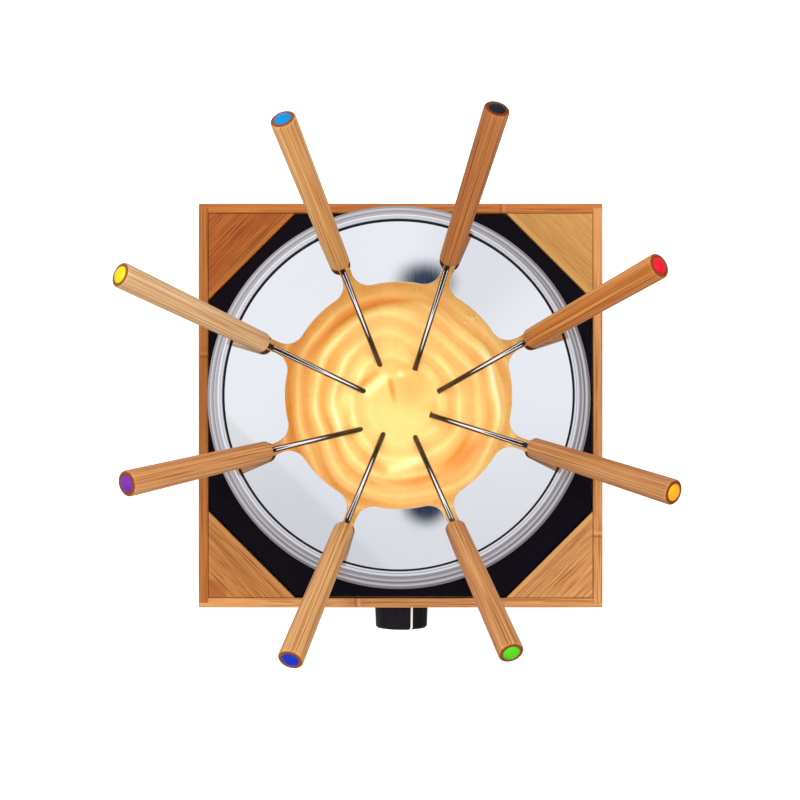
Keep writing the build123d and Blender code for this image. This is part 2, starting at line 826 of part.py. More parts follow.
with BuildPart() as ring_rim:
    with BuildSketch(Plane.XZ):
        with BuildLine():
            # Outer wall, round shoulder, groove and the bead beside the plate
            shoulder_r = ring_rim_outer_r - ring_shoulder_w
            shoulder_z = ring_rim_top - ring_groove_depth
            groove_z = shoulder_z - ring_groove_depth
            outside = Line(
                (ring_rim_outer_r, rim_foot), (ring_rim_outer_r, shoulder_z - ring_shoulder_h)
            )
            shoulder = TangentArc(outside @ 1, (shoulder_r, shoulder_z), tangent=(0, 1))
            groove = Polyline(
                shoulder @ 1,
                (shoulder_r - small_clear, groove_z),
                (ring_rim_inner_r + ring_bead_w, groove_z),
            )
            bead = TangentArc(
                (ring_rim_inner_r, ring_rim_top - ring_bead_drop), groove @ 1, tangent=(0, 1)
            )
            # Ledge under the plate and the skirt that centres the ring in the pot
            skirt_inner = ring_skirt_r - ring_skirt_t
            Polyline(
                bead @ 0,
                (ring_rim_inner_r, ring_seat),
                (ring_plate_r - ring_ledge_w, ring_seat),
                (ring_plate_r - ring_ledge_w, ring_seat - ring_ledge_t),
                (skirt_inner, ring_seat - ring_ledge_t),
                (skirt_inner, ring_skirt_bottom),
                (ring_skirt_r, ring_skirt_bottom),
                (ring_skirt_r, rim_foot + ring_skirt_t),
                (ring_skirt_r + 2 * ring_skirt_t, rim_foot),
                outside @ 0,
            )
        make_face()
    revolve(axis=Axis.Z)
save(ring_rim.part, "ring_rim")

# ------------------------------------------------------------ forks
for name, (slot, shift, lean, slope) in forks.items():
    slot_angle = first_slot + slot * 360 / slot_count
    heading = slot_angle + lean
    rise = radians(slope)
    notch = Vector(notch_r, shift, ring_top).rotate(Axis.Z, slot_angle)
    along = Vector(cos(rise), 0, sin(rise)).rotate(Axis.Z, heading)
    across = Vector(0, 1, 0).rotate(Axis.Z, heading)
    # Sketch plane through the fork's axis: X across the tines, Y up the shank
    flat_plane = Plane(origin=notch, x_dir=across, z_dir=across.cross(along))
    fork_axis = Axis(notch, along)
    handle_start = (handle_seat_gap + handle_seat_r * cos(rise)) / sin(rise)
    handle_end = handle_start + handle_length
    tine_top = head_length - fork_reach

    with BuildPart() as fork_steel:
        with BuildSketch(flat_plane):
            with BuildLine():
                Polyline(
                    (0, handle_start + tang_length),
                    (shank_r, handle_start + tang_length),
                    (shank_r, tine_top),
                    (0, tine_top),
                    close=True,
                )
            make_face()
        revolve(axis=fork_axis)
        with BuildSketch(flat_plane.offset(-head_t / 2)):
            with BuildLine() as one_tine:
                Polyline(
                    (0, tine_top + head_throat / 2),
                    (shank_r * 0.8, tine_top + head_throat / 2),
                    (head_w / 2, tine_top - head_throat),
                    (head_w / 2, tine_point - fork_reach),
                    (head_w / 2 - tine_w * 0.7, -fork_reach),
                    (head_w / 2 - tine_w, tine_point - fork_reach),
                    (head_w / 2 - tine_w, tine_top - head_throat),
                    (0, tine_top - head_throat / 2),
                )
                mirror(one_tine.line, about=Plane.YZ)
            make_face()
        extrude(amount=head_t)
    save(fork_steel.part, f"fork_steel_{name}")

    with BuildPart() as fork_handle:
        with BuildSketch(flat_plane):
            with BuildLine():
                Polyline(
                    (shank_r + press_clear, handle_start),
                    (handle_r_inner - handle_chamfer, handle_start),
                    (handle_r_inner, handle_start + handle_chamfer),
                    (handle_r_outer, handle_end - handle_chamfer),
                    (handle_r_outer - handle_chamfer, handle_end),
                    (cap_stem_r + press_clear, handle_end),
                    (cap_stem_r + press_clear, handle_end - cap_stem - hole_spare),
                    (0, handle_end - cap_stem - hole_spare),
                    (0, handle_start + tang_length + hole_spare),
                    (shank_r + press_clear, handle_start + tang_length + hole_spare),
                    close=True,
                )
            make_face()
        revolve(axis=fork_axis)
    save(fork_handle.part, f"fork_handle_{name}")

    with BuildPart() as fork_cap:
        with BuildSketch(flat_plane):
            with BuildLine():
                dome = TangentArc(
                    (0, handle_end + cap_dome), (cap_r, handle_end), tangent=(1, 0)
                )
                Polyline(
                    dome @ 1,
                    (cap_stem_r, handle_end),
                    (cap_stem_r, handle_end - cap_stem),
                    (0, handle_end - cap_stem),
                    dome @ 0,
                )
            make_face()
        revolve(axis=fork_axis)
    save(fork_cap.part, f"fork_cap_{name}")
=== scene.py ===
import math

import bpy
import numpy as np
from mathutils import Matrix, Vector


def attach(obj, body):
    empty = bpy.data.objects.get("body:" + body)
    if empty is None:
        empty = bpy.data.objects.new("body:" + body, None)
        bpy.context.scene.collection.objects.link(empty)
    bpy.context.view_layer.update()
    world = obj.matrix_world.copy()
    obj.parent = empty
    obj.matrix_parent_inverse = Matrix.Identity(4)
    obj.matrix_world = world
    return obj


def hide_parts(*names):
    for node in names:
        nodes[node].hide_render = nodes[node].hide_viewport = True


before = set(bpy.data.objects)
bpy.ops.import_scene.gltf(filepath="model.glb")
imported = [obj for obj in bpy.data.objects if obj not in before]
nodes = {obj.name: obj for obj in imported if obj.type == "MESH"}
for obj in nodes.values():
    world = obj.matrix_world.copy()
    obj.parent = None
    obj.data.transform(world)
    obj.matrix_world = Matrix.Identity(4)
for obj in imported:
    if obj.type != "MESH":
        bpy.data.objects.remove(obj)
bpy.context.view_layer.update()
scene = bpy.context.scene
MM = 0.001

# ------------------------------------------------------------------ sizes, in millimetres
BOARD_INNER_HALF, PANEL_LEG = 116.7, 52.5
POT_BASE_R, POT_FLOOR, POT_CORNER_R, POT_INNER_R, POT_WALL = 75.0, 70.0, 20.0, 98.0, 0.8
POT_RIM_TOP, POT_SHOULDER, POT_SEAT_R, POT_SEAT_ROUND = 134.6, 3.0, 101.8, 2.4
POT_LIP_R, POT_LIP_ROUND, POT_LIP_BOTTOM, POT_STEP = 107.4, 3.1, 124.3, 0.5
POT_EASE_UP, POT_EASE_IN = 0.25, 0.2
RING_TOP, PLATE_T, PLATE_R, PLATE_EDGE, OPENING_R = 143.0, 1.0, 95.9, 0.24, 62.4
RIM_INNER, RIM_OUTER, RIM_TOP, RIM_FOOT = 96.7, 101.2, 145.5, 134.9
BEAD_W, BEAD_DROP, GROOVE_DEPTH, ROLL_W, ROLL_H, ROLL_DROP = 1.25, 0.7, 1.0, 2.7, 4.0, 0.5
SKIRT_R, SKIRT_BOTTOM, SKIRT_T, FOOT_SLANT = 97.4, 130.0, 1.0, 2.0
SLOTS, SLOT_HALF, SLOT_END_R, MOUTH_R, FIRST_SLOT = 8, 3.0, 81.5, 10.0, 23.5
NOTCH_R, SHANK_R, HANDLE_LENGTH, HANDLE_IN, HANDLE_OUT = 75.3, 1.6, 98.0, 5.6, 6.6
HANDLE_CHAMFER, HANDLE_GAP, HANDLE_SEAT, CAP_R, STEM_R = 1.2, 0.4, 5.2, 4.35, 2.0
HANDLE_SWELL, BORE_GAP, CAP_EASE = 0.05, 0.05, 0.15
CHEESE_Z, CHEESE_GAP, CHEESE_FADE = 82.0, 0.35, 6.0
ROUND_STEPS, HANDLE_STEPS = 480, 72

# name: slot number, shift in the slot, lean and slope in degrees, tint of the handle's colour
FORKS = {
    "light_blue": (2, 0.85, -1.2, 51.0, (0.95, 1.06, 1.11)),
    "black": (1, 1.0, 1.7, 48.8, (0.64, 0.50, 0.42)),
    "red": (0, -0.85, 1.4, 50.3, (0.85, 0.73, 0.58)),
    "orange": (7, 0.1, -0.2, 46.0, (0.70, 0.67, 0.69)),
    "green": (6, -0.35, -0.6, 47.8, (0.82, 0.86, 0.98)),
    "dark_blue": (5, -0.85, 2.0, 46.7, (0.89, 1.01, 1.14)),
    "purple": (4, -0.15, -5.8, 50.2, (0.85, 0.83, 0.87)),
    "yellow": (3, 0.85, -0.4, 47.0, (0.97, 1.33, 2.05)),
}


# ------------------------------------------------------------------ materials
def linear(r, g, b):
    """A display colour from 0 to 255 as the linear colour that a shader takes."""
    values = []
    for c in (r, g, b):
        c = c / 255
        values.append(c / 12.92 if c <= 0.04045 else ((c + 0.055) / 1.055) ** 2.4)
    return (*values, 1.0)


class Nodes:
    """Short calls for the nodes of one shader tree."""

    def __init__(self, tree):
        self.tree = tree

    def add(self, kind, **settings):
        node = self.tree.nodes.new("ShaderNode" + kind)
        for key, value in settings.items():
            setattr(node, key, value)
        return node

    def put(self, source, socket):
        """Feeds source, a socket or a constant, into a node's input socket."""
        if isinstance(source, bpy.types.NodeSocket):
            self.tree.links.new(source, socket)
        else:
            socket.default_value = source

    def math(self, operation, a, b=0.0, clamp=False):
        node = self.add("Math", operation=operation, use_clamp=clamp)
        self.put(a, node.inputs[0])
        self.put(b, node.inputs[1])
        return node.outputs[0]

    def range(self, value, low, high, to_low=0.0, to_high=1.0):
        """A smooth step from to_low to to_high while value goes from low to high."""
        node = self.add("MapRange", interpolation_type="SMOOTHSTEP")
        for socket, v in zip(node.inputs, (value, low, high, to_low, to_high)):
            self.put(v, socket)
        return node.outputs[0]

    def mix(self, share, a, b, blend="MIX"):
        node = self.add("Mix", data_type="RGBA", blend_type=blend)
        self.put(share, node.inputs[0])
        self.put(a, node.inputs[6])
        self.put(b, node.inputs[7])
        return node.outputs[2]

    def split(self, vector):
        node = self.add("SeparateXYZ")
        self.put(vector, node.inputs[0])
        return node.outputs

    def ramp(self, value, stops, interpolation):
        """A colour ramp whose stops are (place, colour), the first at 0 and the last at 1."""
        node = self.add("ValToRGB")
        node.color_ramp.interpolation = interpolation
        elements = node.color_ramp.elements
        for place, colour in stops:
            stop = elements.new(place) if 0 < place < 1 else elements[0 if place == 0 else -1]
            stop.position = place
            stop.color = colour
        self.put(value, node.inputs[0])
        return node.outputs[0]


class Look(Nodes):
    """A Principled material and short calls for what feeds its shader."""

    def __init__(self, name, **sockets):
        self.material = bpy.data.materials.new(name)
        self.material.use_nodes = True
        super().__init__(self.material.node_tree)
        self.shader = self.tree.nodes["Principled BSDF"]
        for key, value in sockets.items():
            self.shader.inputs[key.replace("_", " ")].default_value = value

    def place(self, turn=(0, 0, 0)):
        """Object coordinates in metres, turned so that the grain runs along X."""
        mapping = self.add("Mapping", vector_type="TEXTURE")
        self.put(self.add("TexCoord").outputs["Object"], mapping.inputs["Vector"])
        mapping.inputs["Rotation"].default_value = turn
        return mapping.outputs[0]

    def stretch(self, vector, scale, shift=(0, 0, 0)):
        mapping = self.add("Mapping")
        self.put(vector, mapping.inputs["Vector"])
        mapping.inputs["Scale"].default_value = scale
        mapping.inputs["Location"].default_value = shift
        return mapping.outputs[0]

    def noise(self, vector, detail=2.0, roughness=0.5):
        node = self.add("TexNoise")
        self.put(vector, node.inputs["Vector"])
        for key, value in (("Scale", 1.0), ("Detail", detail), ("Roughness", roughness)):
            node.inputs[key].default_value = value
        return node.outputs["Fac"]

    def colour(self, socket):
        self.put(socket, self.shader.inputs["Base Color"])

    def rough(self, socket):
        self.put(socket, self.shader.inputs["Roughness"])

    def bump(self, height, distance, strength=1.0):
        """Adds relief on top of any relief that is there already."""
        node = self.add("Bump")
        node.inputs["Strength"].default_value = strength
        node.inputs["Distance"].default_value = distance
        self.put(height, node.inputs["Height"])
        existing = self.shader.inputs["Normal"]
        if existing.is_linked:
            self.put(existing.links[0].from_socket, node.inputs["Normal"])
        self.put(node.outputs[0], existing)


def scaled(colour, tint):
    """A linear colour times a tint, channel by channel."""
    return (*[min(1.0, c * t) for c, t in zip(colour, tint)], 1.0)


def bamboo(name, base, light, dark, turn=(0, 0, 0), shift=0.0, strip=0.0058, node_at=None, contrast=1.0,
           edge_strip=None, ends=None, blotch=None, run=1.0):
    """Laminated bamboo with its grain along X after the turn.

    node_at is where a growth node crosses the strips, edge_strip a (place, width) of a paler strip across Y,
    ends the places along X of the two cut ends, blotch a (x, y) of a darker patch. A smaller run makes the
    streaks longer.
    """
    look = Look(name, Roughness=0.45, Specular_IOR_Level=0.13, Coat_Weight=0.02, Coat_Roughness=0.25)
    where = look.place(turn)
    x, y, z = look.split(where)
    moved = (shift, shift * 0.7, shift * 1.3)
    fibre = look.noise(look.stretch(where, (36 * run, 1700, 1700), moved), detail=3, roughness=0.6)
    streak = look.noise(look.stretch(where, (9 * run, 640, 640), moved), detail=3, roughness=0.6)
    tone = look.noise(look.stretch(where, (2.2, 95, 95), moved), detail=2)
    thin = look.noise(look.stretch(where, (22 * run, 1250, 1250), (shift + 3, 5, 9)), detail=2)
    pale = look.noise(look.stretch(where, (15 * run, 1000, 1000), (shift + 11, 2, 4)), detail=2)
    # Glued strips differ a little in tone
    cells = look.add("CombineXYZ")
    look.put(look.math("FLOOR", look.math("DIVIDE", y, strip)), cells.inputs[0])
    look.put(look.math("FLOOR", look.math("DIVIDE", z, strip)), cells.inputs[1])
    cells.inputs[2].default_value = round(shift, 2)
    chance = look.add("TexWhiteNoise", noise_dimensions="3D")
    look.put(cells.outputs[0], chance.inputs[0])
    own = chance.outputs["Value"]
    colour = look.mix(look.range(tone, 0.3, 0.7, 0.0, 0.7 * contrast), base, light)
    colour = look.mix(look.math("MULTIPLY", own, 0.3 * contrast), colour, dark)
    colour = look.mix(look.range(streak, 0.45, 0.7, 0.0, 0.5 * contrast), colour, dark)
    colour = look.mix(look.range(pale, 0.5, 0.62, 0.0, 0.6 * contrast), colour, light)
    colour = look.mix(look.range(fibre, 0.4, 0.72, 0.0, 0.5 * contrast), colour, dark)
    darkest = scaled(dark, (0.72, 0.62, 0.56))
    colour = look.mix(look.range(thin, 0.54, 0.66, 0.0, 0.7 * contrast), colour, darkest)
    if edge_strip:
        place, width = edge_strip
        off = look.math("ABSOLUTE", look.math("SUBTRACT", y, place))
        colour = look.mix(look.range(off, width * 0.35, width * 0.6, 0.7, 0.0), colour, light)
    if blotch:
        spread = look.add("CombineXYZ")
        look.put(look.math("SUBTRACT", x, blotch[0]), spread.inputs[0])
        look.put(look.math("SUBTRACT", y, blotch[1]), spread.inputs[1])
        reach = look.add("VectorMath", operation="LENGTH")
        look.put(spread.outputs[0], reach.inputs[0])
        ragged = look.math("MULTIPLY", look.math("SUBTRACT", tone, 0.5), 0.02)
        wavy = look.math("ADD", reach.outputs["Value"], ragged)
        colour = look.mix(look.range(wavy, 0.008, 0.012, 0.6, 0.0), colour, scaled(dark, (1.15, 0.85, 0.55)))
    if node_at is not None:
        # A dark line with a pale ridge beside it, a little out of step from strip to strip
        jog = look.math("MULTIPLY", look.math("SUBTRACT", own, 0.5), 0.0024)
        wave = look.math("MULTIPLY", look.math("SUBTRACT", tone, 0.5), 0.0012)
        along = look.math("ADD", look.math("SUBTRACT", x, node_at), look.math("ADD", jog, wave))
        line = look.range(look.math("ABSOLUTE", along), 0.0002, 0.0009, 0.6, 0.0)
        beside = look.math("ABSOLUTE", look.math("SUBTRACT", along, 0.0021))
        ridge = look.range(beside, 0.0004, 0.0014, 0.6, 0.0)
        halo = look.range(look.math("ABSOLUTE", along), 0.001, 0.012, 0.3, 0.0)
        colour = look.mix(halo, colour, dark)
        colour = look.mix(ridge, colour, light)
        colour = look.mix(line, colour, scaled(dark, (0.62, 0.5, 0.42)))
        look.bump(look.math("SUBTRACT", ridge, line), 0.0002, 0.6)
    if ends:
        low, high = ends
        outside = look.math("ADD", look.range(x, low + 0.0001, low + 0.0004, 1.0, 0.0),
                            look.range(x, high - 0.0004, high - 0.0001, 0.0, 1.0), clamp=True)
        pores = look.noise(look.stretch(where, (200, 2600, 2600)), detail=1)
        cut = look.mix(look.range(pores, 0.45, 0.62), scaled(dark, (0.8, 0.66, 0.55)),
                       scaled(dark, (0.4, 0.3, 0.26)))
        colour = look.mix(outside, colour, cut)
    look.colour(colour)
    look.rough(look.range(look.math("ADD", fibre, look.math("MULTIPLY", streak, 0.5)), 0.4, 1.2, 0.36, 0.56))
    look.bump(fibre, 0.00018, 0.35)
    look.bump(thin, 0.0002, 0.25)
    return look.material


def steel(name, tone, roughness, spread=0.03, wave=0.0, lathed=False):
    """Polished stainless steel with faint polishing marks, wiped haze and a slight unevenness."""
    look = Look(name, Metallic=1.0, Roughness=roughness)
    where = look.place()
    haze = look.noise(look.stretch(where, (14, 14, 14)), detail=3)
    brushing = (900, 60, 2200) if lathed else (700, 90, 700)
    marks = look.noise(look.stretch(where, brushing), detail=2, roughness=0.7)
    look.colour(look.mix(look.range(haze, 0.3, 0.7), tone, scaled(tone, (0.965, 0.97, 0.985))))
    both = look.math("ADD", look.math("MULTIPLY", haze, 0.5), look.math("MULTIPLY", marks, 0.5))
    look.rough(look.range(both, 0.3, 0.7, max(0.01, roughness - spread), roughness + spread))
    look.bump(marks, 0.000001, 0.5)
    if wave:
        look.bump(look.noise(look.stretch(where, (9, 9, 9)), detail=1), wave, 1.0)
    return look.material


def plain(name, base, second, roughness, scale=900.0, bump=0.00004, metallic=0.0, specular=0.5,
          mottling=26.0):
    """A moulded, cast, painted or plated surface: fine grain, faint mottling and uneven gloss."""
    look = Look(name, Metallic=metallic, Roughness=roughness, Specular_IOR_Level=specular)
    where = look.place()
    grain = look.noise(look.stretch(where, (scale,) * 3), detail=2)
    patch = look.noise(look.stretch(where, (mottling,) * 3), detail=3)
    both = look.math("ADD", look.math("MULTIPLY", patch, 0.65), look.math("MULTIPLY", grain, 0.35))
    look.colour(look.mix(look.range(both, 0.35, 0.65), base, second))
    look.rough(look.range(both, 0.3, 0.7, roughness - 0.06, roughness + 0.06))
    look.bump(grain, bump, 0.7)
    return look.material


def paint(names, material):
    """Gives CAD nodes that are shown as they are their procedural material."""
    for name in names if isinstance(names, (list, tuple)) else [names]:
        slots = nodes[name].data.materials
        slots.clear()
        slots.append(material)


# Bamboo boards: the back and left ones are the darker ones
RIGHT_ANGLE = math.radians(90)
board_base, board_light, board_dark = linear(196, 128, 70), linear(214, 154, 96), linear(160, 92, 42)
paint("front_board", bamboo("bamboo_front", scaled(board_base, (1.0, 1.12, 1.15)), board_light, board_dark,
                            shift=1.3, node_at=-0.0276))
paint("right_board", bamboo("bamboo_right", board_base, board_light, board_dark,
                            turn=(0, 0, RIGHT_ANGLE), shift=4.1, node_at=-0.0797))
paint("left_board", bamboo("bamboo_left", scaled(board_base, (0.64, 0.47, 0.25)),
                           scaled(board_light, (0.68, 0.52, 0.31)), scaled(board_dark, (0.88, 0.8, 0.65)),
                           turn=(0, 0, RIGHT_ANGLE), shift=7.7, node_at=0.0294))
paint("back_board", bamboo("bamboo_back", scaled(board_base, (0.8, 0.62, 0.4)),
                           scaled(board_light, (0.82, 0.64, 0.44)), board_dark, shift=9.2, node_at=0.061))
# Corner panels: strips parallel to the cut corner, each from another stalk
EIGHTH = math.radians(45)
long_edge = (BOARD_INNER_HALF * 2 - PANEL_LEG) / math.sqrt(2) * MM
panel_looks = {
    "back_left": (linear(157, 81, 26), linear(177, 104, 42), linear(122, 50, 11), EIGHTH, 2.2),
    "back_right": (linear(184, 133, 71), linear(195, 148, 87), linear(164, 106, 49), -EIGHTH, 5.9),
    "front_left": (linear(171, 107, 48), linear(188, 132, 72), linear(137, 72, 25), -EIGHTH, 8.4),
    "front_right": (linear(196, 138, 78), linear(210, 156, 98), linear(160, 94, 42), EIGHTH, 12.6),
}
for corner, (base, light, dark, turn, shift) in panel_looks.items():
    side = 1 if corner.startswith("back") else -1
    paint(f"corner_panel_{corner}", bamboo(
        f"bamboo_{corner}", base, light, dark, turn=(0, 0, turn), shift=shift, strip=0.0112, run=1.8,
        contrast=0.6 if corner == "back_right" else 1.0, edge_strip=(side * (long_edge + 0.001), 0.0035),
        blotch=(0.0, -0.162) if corner == "front_left" else None,
    ))

enamel = Look("black_enamel", Roughness=0.13, Specular_IOR_Level=0.04)
enamel_where = enamel.place()
enamel_peel = enamel.noise(enamel.stretch(enamel_where, (260,) * 3), detail=2)
enamel_haze = enamel.noise(enamel.stretch(enamel_where, (22,) * 3), detail=3)
enamel.colour(enamel.mix(enamel_haze, (0.0030, 0.0022, 0.0048, 1), (0.0042, 0.0033, 0.0064, 1)))
enamel.rough(enamel.range(enamel_haze, 0.3, 0.7, 0.1, 0.19))
enamel.bump(enamel_peel, 0.00002, 0.6)
paint("heater_deck", enamel.material)

mirror = steel("mirror_steel", (0.85, 0.87, 0.915, 1), 0.03, spread=0.012, wave=0.00022)
rim_mirror = steel("rim_steel", (0.79, 0.78, 0.83, 1), 0.09, spread=0.03, lathed=True)
pot_polish = steel("pot_steel", (0.58, 0.55, 0.58, 1), 0.16, spread=0.04, lathed=True)
# The shank steel is given a near-black colour, a painted dark reflection that keeps the rods dark whatever
# they mirror
rod_steel_painted_dark = steel("rod_steel_painted_dark", (0.085, 0.078, 0.082, 1), 0.07, spread=0.03)
paint("pot_base_cap", pot_polish)
paint([f"fork_steel_{c}" for c in FORKS], rod_steel_painted_dark)
paint("pot_core", plain("aluminium", linear(196, 196, 196), linear(182, 183, 184), 0.4, metallic=1.0))
paint("hot_plate", plain("cast_plate", linear(40, 40, 41), linear(50, 49, 49), 0.55, scale=700, bump=0.00008))
paint("heating_element", plain("element_sheath", linear(98, 88, 80), linear(70, 60, 56), 0.5, metallic=0.8))
paint(["heat_shield", "thermostat_bracket"], plain(
    "zinc_sheet", linear(196, 198, 200), linear(168, 171, 176), 0.36, scale=60, metallic=1.0, mottling=90))
paint(["base_screws", "heater_screws", "thermal_fuse", "thermostat_spindle"], plain(
    "zinc_plating", linear(204, 204, 202), linear(184, 185, 186), 0.3, metallic=1.0))
paint("thermostat_nut", plain("brass", linear(206, 168, 96), linear(190, 150, 80), 0.32, metallic=1.0))
paint("thermostat_body", plain("phenolic", linear(92, 52, 32), linear(78, 42, 26), 0.45))
paint("terminal_block", plain("steatite", linear(232, 228, 218), linear(220, 214, 202), 0.7, scale=1500))
paint("cord_gland", plain("inlet_plastic", linear(34, 34, 36), linear(28, 28, 30), 0.5, bump=0.00006))
paint("bottom_cover", plain(
    "powder_coat", linear(40, 40, 43), linear(34, 34, 37), 0.6, scale=1300, bump=0.0001))
paint("rubber_feet", plain("rubber", linear(36, 36, 37), linear(27, 27, 28), 0.82, scale=1600, bump=0.00012))
paint(["plate_seal", "ring_gasket"], plain(
    "silicone", linear(14, 14, 16), linear(10, 10, 12), 0.6, specular=0.25))
paint("knob_pointer", plain("white_inlay", linear(240, 240, 238), linear(230, 230, 228), 0.35))
paint("knob_body", plain("knob_plastic", linear(23, 21, 28), linear(17, 16, 22), 0.34, scale=1500,
                         bump=0.00005, specular=0.1))
paint("inner_wood", bamboo("inner_stock", linear(196, 158, 112), linear(214, 180, 134), linear(168, 126, 80),
                           shift=15.0))
cap_colours = {
    "light_blue": (0, 128, 196), "black": (22, 24, 30), "red": (214, 16, 42), "orange": (250, 160, 24),
    "green": (76, 190, 24), "dark_blue": (14, 44, 172), "purple": (112, 42, 152), "yellow": (240, 204, 18),
}
for colour_name, rgb in cap_colours.items():
    shade = linear(*rgb)
    paint(f"fork_cap_{colour_name}", plain(
        f"cap_{colour_name}", shade, scaled(shade, (0.82, 0.82, 0.86)), 0.26,
        scale=700, bump=0.00003, specular=0.15, mottling=160))


# ------------------------------------------------------------------ mesh helpers
def new_piece(name, verts, faces, material, body, stands_for=(), slot=None, sharp=32.0, matrix=None):
    """A smooth mesh piece with crisp edges where its faces meet at more than sharp degrees."""
    mesh = bpy.data.meshes.new(name)
    mesh.from_pydata([tuple(float(c) * MM for c in v) for v in verts], [], faces)
    mesh.validate()
    mesh.polygons.foreach_set("use_smooth", [True] * len(mesh.polygons))
    mesh.set_sharp_from_angle(angle=math.radians(sharp))
    mesh.materials.append(material)
    piece = bpy.data.objects.new(name, mesh)
    scene.collection.objects.link(piece)
    if matrix is not None:
        piece.matrix_world = matrix
    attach(piece, body)
    if stands_for:
        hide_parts(*stands_for)
    return piece


def arc(start, end, direction, steps=14):
    """Points after start on the arc that leaves it in that direction and ends at end."""
    s, e, t = (np.array(v, float) for v in (start, end, direction))
    t /= np.linalg.norm(t)
    n = np.array([-t[1], t[0]])
    d = e - s
    radius = d @ d / (2 * (d @ n))
    centre = s + n * radius
    first = math.atan2(*(s - centre)[::-1])
    turn = (math.atan2(*(e - centre)[::-1]) - first) % (2 * math.pi)
    if radius < 0:
        turn -= 2 * math.pi
    bearings = (first + turn * k / steps for k in range(1, steps + 1))
    return [tuple(centre + abs(radius) * np.array([math.cos(b), math.sin(b)])) for b in bearings]


def lathe(profile, turns):
    """Vertices and faces of a closed outline of (radius, height) points turned about Z.

    The outline may be given either way round.
    """
    area = sum(r0 * z1 - r1 * z0 for (r0, z0), (r1, z1) in zip(profile, profile[1:] + profile[:1]))
    if area < 0:
        profile = profile[::-1]
    angles = [2 * math.pi * k / turns for k in range(turns)]
    verts, rows, faces = [], [], []
    for r, z in profile:
        if r < 1e-9:
            rows.append([len(verts)] * turns)
            verts.append((0.0, 0.0, z))
        else:
            rows.append(list(range(len(verts), len(verts) + turns)))
            verts += [(r * math.cos(a), r * math.sin(a), z) for a in angles]
    for low, high in zip(rows, rows[1:] + rows[:1]):
        for k in range(turns):
            m = (k + 1) % turns
            face = [low[k], low[m], high[m], high[k]]
            face = [v for j, v in enumerate(face) if v not in face[:j]]
            if len(face) > 2:
                faces.append(face)
    return verts, faces


# ------------------------------------------------------------------ the pot
inside = [(0.0, POT_FLOOR), (POT_BASE_R, POT_FLOOR), (POT_INNER_R - POT_CORNER_R, POT_FLOOR)]
inside += arc(inside[-1], (POT_INNER_R, POT_FLOOR + POT_CORNER_R), (1, 0), 20)
inside.append((POT_INNER_R, POT_RIM_TOP - POT_SHOULDER))
inside += arc(inside[-1], (POT_INNER_R + POT_SHOULDER, POT_RIM_TOP), (0, 1), 12)
inside.append((POT_SEAT_R, POT_RIM_TOP))
inside += arc(inside[-1], (POT_SEAT_R + POT_SEAT_ROUND, POT_RIM_TOP - POT_SEAT_ROUND), (1, 0), 12)
step_top = (POT_LIP_R - POT_LIP_ROUND, POT_RIM_TOP - POT_SEAT_ROUND - POT_STEP)
inside.append(step_top)
inside += arc(step_top, (POT_LIP_R, step_top[1] - POT_LIP_ROUND), (1, 0), 16)
inside.append((POT_LIP_R, POT_LIP_BOTTOM + POT_EASE_UP))
# The underside is the same line, one wall thickness further out
line = np.array(inside)
ahead = np.vstack([line[1:] - line[:-1], line[-1:] - line[-2:-1]])
behind = np.vstack([ahead[:1], ahead[:-1]])
direction = ahead / np.linalg.norm(ahead, axis=1)[:, None] + behind / np.linalg.norm(behind, axis=1)[:, None]
direction /= np.linalg.norm(direction, axis=1)[:, None]
under = line + np.stack([direction[:, 1], -direction[:, 0]], 1) * POT_WALL
under[0] = (0.0, POT_FLOOR - POT_WALL)
lip_end = [(POT_LIP_R - POT_EASE_IN, POT_LIP_BOTTOM), (POT_LIP_R - POT_WALL + POT_EASE_IN, POT_LIP_BOTTOM)]
pot_outline = inside + lip_end + [tuple(p) for p in under[::-1]]
new_piece("pot_shell_turned", *lathe(pot_outline, ROUND_STEPS), pot_polish, "pot",
          ("pot_rim", "pot_side", "pot_bowl", "pot_floor"), "pot_steel", sharp=40)

# ------------------------------------------------------------------ the fork ring's rim
groove = RIM_TOP - GROOVE_DEPTH
roll_end = (RIM_OUTER - ROLL_W, RIM_TOP - ROLL_DROP)
outer = [(RIM_OUTER, RIM_FOOT), (RIM_OUTER, RIM_TOP - ROLL_H)]
outer += arc(outer[-1], roll_end, (0, 1), 24)
outer += [(roll_end[0] - 0.1, groove), (RIM_INNER + BEAD_W, groove)]
bead = arc((RIM_INNER, RIM_TOP - BEAD_DROP), (RIM_INNER + BEAD_W, groove), (0, 1), 20)[::-1]
seat, seat_r = RING_TOP - PLATE_T, PLATE_R - 2.5
outer += bead[1:] + [(RIM_INNER, RIM_TOP - BEAD_DROP), (RIM_INNER, seat)]
outer += [(seat_r, seat), (seat_r, seat - 1.0)]
outer += [(SKIRT_R - SKIRT_T, seat - 1.0), (SKIRT_R - SKIRT_T, SKIRT_BOTTOM), (SKIRT_R, SKIRT_BOTTOM)]
outer += [(SKIRT_R, RIM_FOOT + 1.0), (SKIRT_R + FOOT_SLANT, RIM_FOOT)]
new_piece("ring_rim_turned", *lathe(outer, ROUND_STEPS), rim_mirror, "fork_ring",
          ("ring_rim",), "mirror_steel", sharp=28)


